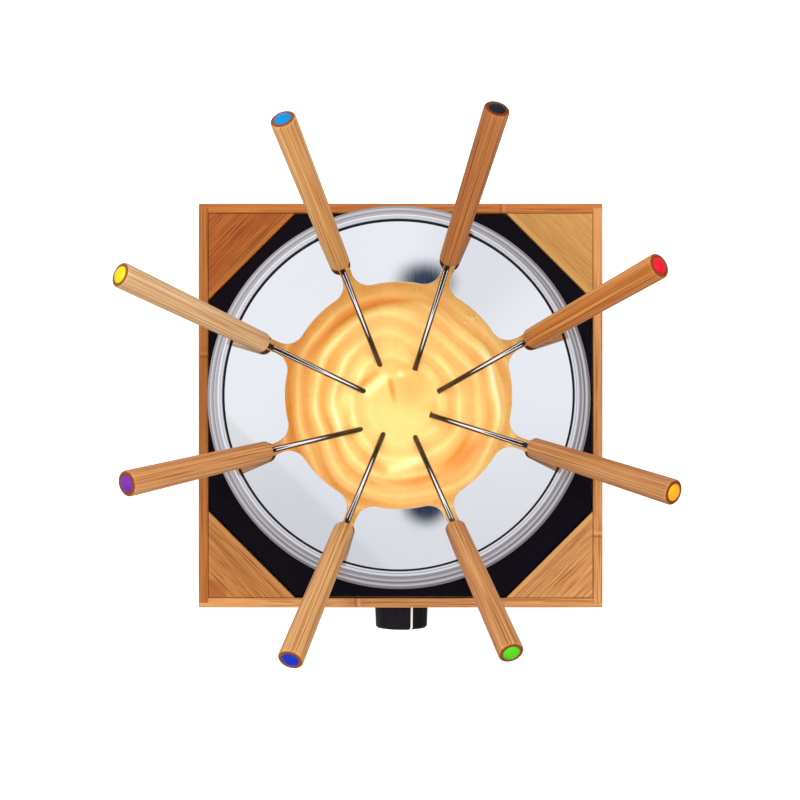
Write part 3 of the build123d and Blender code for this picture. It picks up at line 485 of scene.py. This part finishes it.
# ------------------------------------------------------------------ the slotted plate
def opening_outline():
    """The middle opening with its eight round-ended slots and rounded mouths."""
    centre_r = math.sqrt((OPENING_R + MOUTH_R) ** 2 - (SLOT_HALF + MOUTH_R) ** 2)
    spread = math.atan2(SLOT_HALF + MOUTH_R, centre_r)
    one = []
    for k in range(25):
        a = math.pi - spread + (math.pi / 2 - math.pi + spread) * k / 24
        one.append((centre_r + MOUTH_R * math.cos(a), -SLOT_HALF - MOUTH_R + MOUTH_R * math.sin(a)))
    for k in range(1, 20):
        a = -math.pi / 2 + math.pi * k / 20
        one.append((SLOT_END_R - SLOT_HALF + SLOT_HALF * math.cos(a), SLOT_HALF * math.sin(a)))
    one += [(x, -y) for x, y in one[:25][::-1]]
    points = []
    for slot in range(SLOTS):
        a = math.radians(FIRST_SLOT) + slot * 2 * math.pi / SLOTS
        points += [(x * math.cos(a) - y * math.sin(a), x * math.sin(a) + y * math.cos(a)) for x, y in one]
        gap = 2 * math.pi / SLOTS - 2 * spread
        for k in range(1, 48):
            b = a + spread + gap * k / 48
            points.append((OPENING_R * math.cos(b), OPENING_R * math.sin(b)))
    return points


plate_curve = bpy.data.curves.new("ring_plate_outline", "CURVE")
plate_curve.dimensions = "2D"
plate_curve.fill_mode = "BOTH"
plate_curve.bevel_depth = PLATE_EDGE * MM
plate_curve.bevel_resolution = 2
plate_curve.offset = -PLATE_EDGE * MM
plate_curve.extrude = (PLATE_T / 2 - PLATE_EDGE) * MM
round_angles = [2 * math.pi * k / ROUND_STEPS for k in range(ROUND_STEPS)]
circle = [(PLATE_R * math.cos(a), PLATE_R * math.sin(a)) for a in round_angles]
for outline in (circle, opening_outline()):
    spline = plate_curve.splines.new("POLY")
    spline.points.add(len(outline) - 1)
    for point, (px, py) in zip(spline.points, outline):
        point.co = (px * MM, py * MM, 0, 1)
    spline.use_cyclic_u = True
plate_source = bpy.data.objects.new("ring_plate_source", plate_curve)
scene.collection.objects.link(plate_source)
bpy.context.view_layer.update()
depsgraph = bpy.context.evaluated_depsgraph_get()
plate_mesh = bpy.data.meshes.new_from_object(plate_source.evaluated_get(depsgraph))
bpy.data.objects.remove(plate_source)
plate_mesh.transform(Matrix.Translation((0, 0, (RING_TOP - PLATE_T / 2) * MM)))
plate_mesh.name = "ring_plate_polished"
plate_mesh.polygons.foreach_set("use_smooth", [False] * len(plate_mesh.polygons))
plate_mesh.materials.clear()
plate_mesh.materials.append(mirror)
plate = bpy.data.objects.new("ring_plate_polished", plate_mesh)
scene.collection.objects.link(plate)
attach(plate, "fork_ring")
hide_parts("ring_plate")

# ------------------------------------------------------------------ fork handles
HANDLE_TONES = (196, 132, 72), (226, 172, 112), (164, 96, 44)
for index, (colour_name, (slot, shift, lean, slope, tint)) in enumerate(FORKS.items()):
    slot_angle = math.radians(FIRST_SLOT + slot * 360 / SLOTS)
    heading = slot_angle + math.radians(lean)
    rise = math.radians(slope)
    spin = Matrix.Rotation(slot_angle, 3, "Z")
    notch = spin @ Vector((NOTCH_R, shift, RING_TOP))
    along = Vector((math.cos(rise) * math.cos(heading), math.cos(rise) * math.sin(heading), math.sin(rise)))
    across = Vector((-math.sin(heading), math.cos(heading), 0))
    up = along.cross(across)
    # Local X runs along the fork, so that the grain does too
    turn = Matrix((along, across, up)).transposed().to_4x4()
    start = (HANDLE_GAP + HANDLE_SEAT * math.cos(rise)) / math.sin(rise)
    end = start + HANDLE_LENGTH
    profile = [(SHANK_R + BORE_GAP, start), (HANDLE_IN - HANDLE_CHAMFER, start)]
    profile += arc(profile[-1], (HANDLE_IN, start + HANDLE_CHAMFER), (1, 0), 5)
    # A hair of swell along the turned handle
    for k in range(1, 24):
        t = k / 24
        r = HANDLE_IN + (HANDLE_OUT - HANDLE_IN) * t + HANDLE_SWELL * math.sin(math.pi * t)
        profile.append((r, start + HANDLE_CHAMFER + (HANDLE_LENGTH - 2 * HANDLE_CHAMFER) * t))
    profile.append((HANDLE_OUT, end - HANDLE_CHAMFER))
    profile += arc(profile[-1], (HANDLE_OUT - HANDLE_CHAMFER, end), (0, 1), 5)
    profile += [(CAP_R + 2 * CAP_EASE, end), (CAP_R + CAP_EASE, end - CAP_EASE)]
    profile.append((STEM_R + BORE_GAP, end - CAP_EASE))
    verts, faces = lathe(profile, HANDLE_STEPS)
    verts = [(z, x, y) for x, y, z in verts]
    tones = [scaled(linear(*rgb), tint) for rgb in HANDLE_TONES]
    material = bamboo(f"bamboo_{colour_name}", *tones, shift=21.0 + 3.7 * index, strip=0.0031,
                      ends=(start * MM, end * MM), run=0.3)
    new_piece(f"handle_{colour_name}", verts, faces, material, f"fork_{colour_name}",
              (f"fork_handle_{colour_name}",), "bamboo_handle",
              matrix=Matrix.Translation(notch * MM) @ turn)


# ------------------------------------------------------------------ the cheese
def bell(distance, width):
    """1 at no distance, falling off softly."""
    return np.exp(-0.5 * (distance / width) ** 2)


def stretch_of(angle, low, high, soft):
    """1 between two angles in degrees, falling off softly outside them."""
    middle, half = (low + high) / 2, (high - low) / 2
    off = np.abs((angle - middle + 180) % 360 - 180)
    return 1 / (1 + np.exp((off - half) / soft))


def to_line(x, y, a, b):
    """Distance from the stroke between points a and b."""
    a, b = np.array(a, float), np.array(b, float)
    d = b - a
    t = np.clip(((x - a[0]) * d[0] + (y - a[1]) * d[1]) / (d @ d), 0, 1)
    return np.hypot(x - a[0] - t * d[0], y - a[1] - t * d[1])


def cheese_surface(x, y):
    """Relief of the stirred surface in mm and its tone, 0 amber to 1 pale; the tone holds painted highlights
    and painted shade besides the cheese's own colour.
    """
    r, angle = np.hypot(x, y), np.degrees(np.arctan2(y, x))
    turn = np.radians(angle)
    wander = (2.2 * np.sin(2 * turn + 0.5) + 1.5 * np.sin(3 * turn - 1.2)
              + 0.9 * np.sin(5 * turn + 0.2 + r / 22) + 0.5 * np.sin(9 * turn - r / 9))
    swirl = r + wander * np.clip(r / 40, 0, 1.3) - angle / 360 * 11.5
    phase = 2 * np.pi * swirl / 11.5
    ridges = (np.sin(phase) + 0.4 * np.sin(2 * phase + 0.9 + 0.8 * np.sin(2 * turn))
              + 0.2 * np.sin(3 * phase - 0.4))
    ring = 1 / (1 + np.exp((24 - r) / 3)) / (1 + np.exp((r - 76) / 7))
    left = stretch_of(angle, 125, 245, 12)
    right = stretch_of(angle, -55, 55, 12)
    patchy = 0.72 + 0.28 * np.sin(4 * turn + r / 7.5 + 1.1) * np.cos(3 * turn - r / 11)
    strength = ring * (0.3 + 0.5 * left + 0.42 * right) * patchy
    height = 0.75 * strength * ridges
    # Light and dark bands along the ridges, offset from the relief, and pale crests on the left: painted
    # shading and painted highlights
    painted_crest_highlight = np.clip(np.sin(phase + 0.7), 0, 1) ** 3
    tone = 0.4 + strength * (0.24 * np.sin(phase + 0.7) + 0.09 * np.sin(2 * phase + 0.4) + 0.3 * painted_crest_highlight * left)
    # The stirred mass is heaped a little towards the left and the front
    height += 1.6 + (-0.1 * x - 0.075 * y) * np.exp(-((r / 42) ** 4))
    # Pale, almost flat middle in front of the peak, and a softly sunken patch behind it, painted darker as
    # shade
    tone += 0.08 * bell(np.hypot(x - 1, (y + 15) * 0.8), 12)
    tone -= 0.2 * bell(np.hypot(x - 6, y - 9), 7.5)
    height -= 0.5 * bell(np.hypot(x - 6, y - 9), 6.5)
    # The peak with its crease, and the stroke left of it: a painted highlight on the peak and on the stroke,
    # painted shade in the crease and a painted shadow beside the stroke
    height += 2.4 * bell(np.hypot(x + 0.2, y - 17.6), 2.3)
    tone += 0.42 * bell(np.hypot(x + 0.2, y - 18.0), 2.0)
    crease = bell(to_line(x, y, (-6.0, 13.6), (-3.4, 1.6)), 0.9) * np.clip((y + 1) / 7, 0.2, 1)
    height -= 1.0 * crease
    tone -= 0.3 * crease
    stroke = bell(to_line(x, y, (-20, 6.5), (-10, 15.0)), 2.2)
    height += 1.0 * stroke
    tone += 0.42 * stroke
    shade = bell(to_line(x, y, (-23, 12), (-15, 18.5)), 1.5)
    height -= 0.6 * shade
    tone -= 0.22 * shade
    # Heavy folds: along the back, at the front right and the sunken pool beside it, all painted darker amber
    # as shade, with a painted highlight on the ridge beside the back fold
    fold = bell(r - 61.5 + 0.05 * (angle - 115), 1.8) * stretch_of(angle, 82, 138, 7)
    height -= 1.5 * fold
    tone -= 0.3 * fold
    ridge = bell(r - 55.5, 2.6) * stretch_of(angle, 75, 135, 8)
    height += 0.7 * ridge
    tone += 0.14 * ridge
    pool = bell(r - 48.5, 3.4) * stretch_of(angle, -52, -26, 5)
    height -= 1.5 * pool
    tone -= 0.5 * pool
    lap = bell(r - 47.5, 1.8) * stretch_of(angle, -98, -52, 7)
    height -= 0.9 * lap
    tone -= 0.28 * lap
    # Painted highlights: raised bands low in front, at the right side and on the left, painted pale
    painted_highlight_low = bell(to_line(x, y, (-5, -40), (11, -34)), 2.4)
    height += 1.0 * painted_highlight_low
    tone += 0.42 * painted_highlight_low
    painted_highlight_side = bell(r - 57.5 + 1.4 * np.sin(9 * turn), 1.7) * stretch_of(angle, -8, 32, 5)
    height += 1.0 * painted_highlight_side
    tone += 0.5 * painted_highlight_side
    painted_highlight_left = bell(r - 35 + 2 * np.sin(3 * turn), 2.6) * stretch_of(angle, 140, 196, 9)
    height += 0.5 * painted_highlight_left
    tone += 0.3 * painted_highlight_left
    # Painted shade: deeper orange towards the left and back edges
    tone -= 0.2 * np.clip((r - 54) / 10, 0, 1) * stretch_of(angle, 125, 245, 14)
    tone -= 0.06 * np.clip((r - 56) / 10, 0, 1) * stretch_of(angle, 60, 125, 12)
    # Cheese clings up the forks a little
    for fx, fy, rise in ((18, -7, 3.6), (7.5, 18.5, 2.4), (19, 8.5, 1.3), (-23, 9, 2.0), (8, -18, 0.8)):
        height += rise * bell(np.hypot(x - fx, y - fy), 4.5)
    # Bubbles at the back right, paler on top as a painted highlight
    for bx, by, size in ((40.5, 51.5, 1.0), (43.4, 51.0, 1.3), (45.6, 52.0, 0.8), (46.5, 29.5, 1.2),
                         (39.0, 48.6, 0.7)):
        dome = np.clip(1 - (np.hypot(x - bx, y - by) / size) ** 2, 0, 1)
        height += 0.8 * np.sqrt(dome) * size
        tone += 0.22 * dome
    return height, tone


corner_r, corner_z = POT_INNER_R - POT_CORNER_R, POT_FLOOR + POT_CORNER_R
CHEESE_R = corner_r + math.sqrt(POT_CORNER_R ** 2 - (corner_z - CHEESE_Z) ** 2) - CHEESE_GAP
RINGS, SPOKES, SIDE_STEPS = 190, 400, 8
angles = np.arange(SPOKES) * 2 * np.pi / SPOKES


def circle_at(r, z):
    return [(r * c, r * s, z) for c, s in zip(np.cos(angles), np.sin(angles))]


def band(low, high):
    """Faces between two circles whose first vertices are low and high."""
    return [(low + k, high + k, high + (k + 1) % SPOKES, low + (k + 1) % SPOKES) for k in range(SPOKES)]


flat = [(0.0, 0.0, 0.0)]
for k in range(1, RINGS + 1):
    flat += circle_at(CHEESE_R * (k / RINGS) ** 0.92, 0.0)
grid = np.array(flat)
# Relief and tone per vertex; the tone holds painted highlights and painted shade
relief, tone = cheese_surface(grid[:, 0], grid[:, 1])
fade = np.clip((CHEESE_R - np.hypot(grid[:, 0], grid[:, 1])) / CHEESE_FADE, 0, 1)
grid[:, 2] = CHEESE_Z + relief * fade
tones = list(np.clip(tone, 0.0, 1.25))
verts = [tuple(p) for p in grid]
faces = [(0, 1 + k, 1 + (k + 1) % SPOKES) for k in range(SPOKES)]
for i in range(RINGS - 1):
    faces += band(1 + i * SPOKES, 1 + (i + 1) * SPOKES)
# Sides and underside follow the pot
last = 1 + (RINGS - 1) * SPOKES
top_angle = math.asin((CHEESE_Z - corner_z) / POT_CORNER_R)
cheese_corner = POT_CORNER_R - CHEESE_GAP
for k in range(1, SIDE_STEPS + 1):
    a = top_angle + (-math.pi / 2 - top_angle) * k / SIDE_STEPS
    first = len(verts)
    verts += circle_at(corner_r + cheese_corner * math.cos(a), corner_z + cheese_corner * math.sin(a))
    tones += [0.4] * SPOKES
    faces += band(last, first)
    last = first
faces.append([last + k for k in range(SPOKES)][::-1])

cheese_look = Look("melted_cheese", Roughness=0.26, Specular_IOR_Level=0.55, Subsurface_Weight=0.22,
                   Subsurface_Radius=(0.006, 0.0032, 0.0012), Subsurface_Scale=1.0)
# The tone attribute carries the cheese's colour together with its painted highlights and painted shade; the
# ramp's palest stops are the near-white of the painted highlights
painted_light_and_tone = cheese_look.add("Attribute", attribute_name="tone").outputs["Fac"]
cheese_where = cheese_look.place()
clouds = cheese_look.noise(cheese_look.stretch(cheese_where, (70,) * 3), detail=3)
curd = cheese_look.noise(cheese_look.stretch(cheese_where, (900,) * 3), detail=2)
mottling = cheese_look.math("MULTIPLY", cheese_look.math("SUBTRACT", clouds, 0.5), 0.16)
cheese_look.colour(cheese_look.ramp(cheese_look.math("ADD", painted_light_and_tone, mottling), [
    (place, linear(*rgb)) for place, rgb in (
        (0.0, (228, 140, 40)), (0.2, (242, 166, 76)), (0.42, (251, 198, 112)), (0.62, (255, 218, 134)),
        (0.82, (255, 234, 158)), (1.0, (255, 246, 205)))
], "B_SPLINE"))
cheese_look.rough(cheese_look.range(clouds, 0.3, 0.7, 0.2, 0.33))
cheese_look.bump(curd, 0.00006, 0.35)
cheese_look.bump(clouds, 0.0012, 0.25)
cheese = new_piece("cheese_fondue", verts, faces, cheese_look.material, "pot", sharp=70)
painted_light_and_tone_data = cheese.data.attributes.new("tone", "FLOAT", "POINT")
painted_light_and_tone_data.data.foreach_set("value", np.array(tones, np.float32))

# ------------------------------------------------------------------ floor, light and camera
floor_mesh = bpy.data.meshes.new("floor")
floor_half = 40
floor_corners = [(sx * floor_half, sy * floor_half, 0) for sx, sy in ((-1, -1), (1, -1), (1, 1), (-1, 1))]
floor_mesh.from_pydata(floor_corners, [], [(0, 1, 2, 3)])
floor = bpy.data.objects.new("floor", floor_mesh)
floor_look = Look("floor_white", Roughness=0.9, Specular_IOR_Level=0.1, Base_Color=(0.86, 0.86, 0.86, 1),
                  Emission_Color=(1, 1, 1, 1), Emission_Strength=0.5)
floor_mesh.materials.append(floor_look.material)
scene.collection.objects.link(floor)
floor.visible_glossy = False

world = bpy.data.worlds.new("studio")
scene.world = world
world.use_nodes = True
sky = Nodes(world.node_tree)
sky_right, sky_back, sky_up = sky.split(sky.add("TexCoord").outputs["Generated"])
# Wide soft box overhead in a dim studio
glow = sky.ramp(sky_up, [(place, (level, level, level, 1)) for place, level in (
    (0.0, 0.36), (0.12, 0.34), (0.26, 0.36), (0.46, 0.62), (0.62, 0.86), (0.8, 0.98), (1.0, 0.98))], "EASE")
# Unevenness of the soft box, on a level sheet one unit above the object
height = sky.math("MAXIMUM", sky_up, 0.1)
u = sky.math("DIVIDE", sky_right, height)
v = sky.math("DIVIDE", sky_back, height)
level = sky.math("MULTIPLY", sky.range(u, -0.06, 0.1, 1.0, 0.985), sky.range(v, -0.04, 0.1, 0.86, 1.0))
# A dimmer wedge and the straight edge of a second sheet, both from where the ring's middle is mirrored
from_u = sky.math("ADD", u, 0.017)
from_v = sky.math("SUBTRACT", v, 0.084)
off_wedge = sky.math("ABSOLUTE", sky.math("SUBTRACT", sky.math("ARCTAN2", from_v, from_u), 1.0))
level = sky.math("MULTIPLY", level, sky.range(off_wedge, 0.1, 0.5, 0.9, 1.0))
beyond = sky.math("MULTIPLY", sky.math("ADD", from_u, from_v), -0.7071)
level = sky.math("MULTIPLY", level, sky.range(beyond, 0.099, 0.103, 1.0, 0.88))


def blend_to_one(share, value):
    """value where share is 1, going to 1 where share is 0."""
    return sky.math("ADD", sky.math("MULTIPLY", share, sky.math("SUBTRACT", value, 1.0)), 1.0)


def dark_spot(at_u, at_v, half_u, half_v, soft):
    """0 on an oval dark thing up in the studio, such as the camera, and 1 away from it."""
    off_u = sky.math("DIVIDE", sky.math("SUBTRACT", u, at_u), half_u)
    off_v = sky.math("DIVIDE", sky.math("SUBTRACT", v, at_v), half_v)
    squares = sky.math("ADD", sky.math("MULTIPLY", off_u, off_u), sky.math("MULTIPLY", off_v, off_v))
    return sky.range(sky.math("SQRT", squares), 1 - soft, 1 + soft, 0.0, 1.0)


open_sky = sky.math("MULTIPLY", dark_spot(0.003, 0.004, 0.016, 0.017, 0.45),
                    dark_spot(0.004, 0.172, 0.018, 0.012, 0.6))
spots = sky.mix(open_sky, (0.03, 0.045, 0.085, 1), (1, 1, 1, 1))
background = sky.tree.nodes["Background"]
sky.put(sky.mix(1.0, glow, spots, blend="MULTIPLY"), background.inputs["Color"])
# The unevenness fades out away from the zenith, where the studio is lighter at the back left instead
level = blend_to_one(sky.range(sky_up, 0.8, 0.93, 0.0, 1.0), level)
lighter = sky.range(sky.math("SUBTRACT", sky_back, sky_right), -0.4, 1.1, 0.94, 1.7)
aside = sky.range(sky_up, 0.5, 0.8, 1.0, 0.0)
sky.put(sky.math("MULTIPLY", level, blend_to_one(aside, lighter)), background.inputs["Strength"])
# The camera itself sees a plain pale backdrop
backdrop = sky.add("Background")
backdrop.inputs["Color"].default_value = (0.97, 0.97, 0.975, 1)
choice = sky.add("MixShader")
sky.put(sky.add("LightPath").outputs["Is Camera Ray"], choice.inputs[0])
sky.put(background.outputs[0], choice.inputs[1])
sky.put(backdrop.outputs[0], choice.inputs[2])
sky.put(choice.outputs[0], sky.tree.nodes["World Output"].inputs["Surface"])


def soft_light(name, place, target, size, power):
    """A round area light that lights surfaces without showing in the mirrors."""
    data = bpy.data.lights.new(name, "AREA")
    data.shape = "DISK"
    data.size = size
    data.energy = power
    light = bpy.data.objects.new(name, data)
    light.location = place
    light.rotation_euler = (Vector(target) - Vector(place)).to_track_quat("-Z", "Y").to_euler()
    light.visible_glossy = False
    scene.collection.objects.link(light)
    return light


def light_ring(name, count, first, place, target, size, power):
    """Lights evenly round the middle of the pot; place and target are (radius, height), first is in steps."""
    lights = []
    for k in range(count):
        a = 2 * math.pi * (k + first) / count
        ends = [(r * math.cos(a), r * math.sin(a), z) for r, z in (place, target)]
        light = soft_light(f"{name}_{k}", *ends, size, power)
        light.visible_camera = False
        lights.append(light)
    return lights


soft_light("overhead", (0.05, 0.0, 1.3), (0, 0, 0.1), 1.3, 12.0)
soft_light("key", (-1.0, 0.9, 1.3), (0, 0, 0.1), 0.8, 2.5)
soft_light("fill", (1.0, -1.0, 1.2), (0, 0, 0.1), 1.2, 2.0)
# Small lamps under the ring light the cheese that the ring would otherwise leave dark
light_ring("pot_lamp", 16, 0.5, (0.082, 0.139), (0.07, 0.08), 0.026, 0.003)
# A ring of light round the pot's wall, there only for the bright line along each fork's shank
shanks = bpy.data.collections.new("shanks")
for colour_name in FORKS:
    shanks.objects.link(nodes[f"fork_steel_{colour_name}"])
for strip in light_ring("shank_light", 24, 0.0, (0.0945, 0.106), (0.0, 0.106), 0.0248, 0.024):
    strip.data.shape = "RECTANGLE"
    strip.data.size_y = 0.025
    strip.visible_diffuse = False
    strip.visible_glossy = True
    strip.light_linking.receiver_collection = shanks

camera_data = bpy.data.cameras.new("camera")
camera_data.lens = 58.5
camera_data.sensor_width = 36
camera_data.shift_x = -0.0255
camera_data.shift_y = 0.1306
camera_data.clip_start = 0.01
camera = bpy.data.objects.new("camera", camera_data)
camera.location = (0.012, -0.060, 0.858)
scene.collection.objects.link(camera)
scene.camera = camera
scene.view_settings.view_transform = "Standard"
scene.view_settings.look = "None"

bpy.context.view_layer.update()
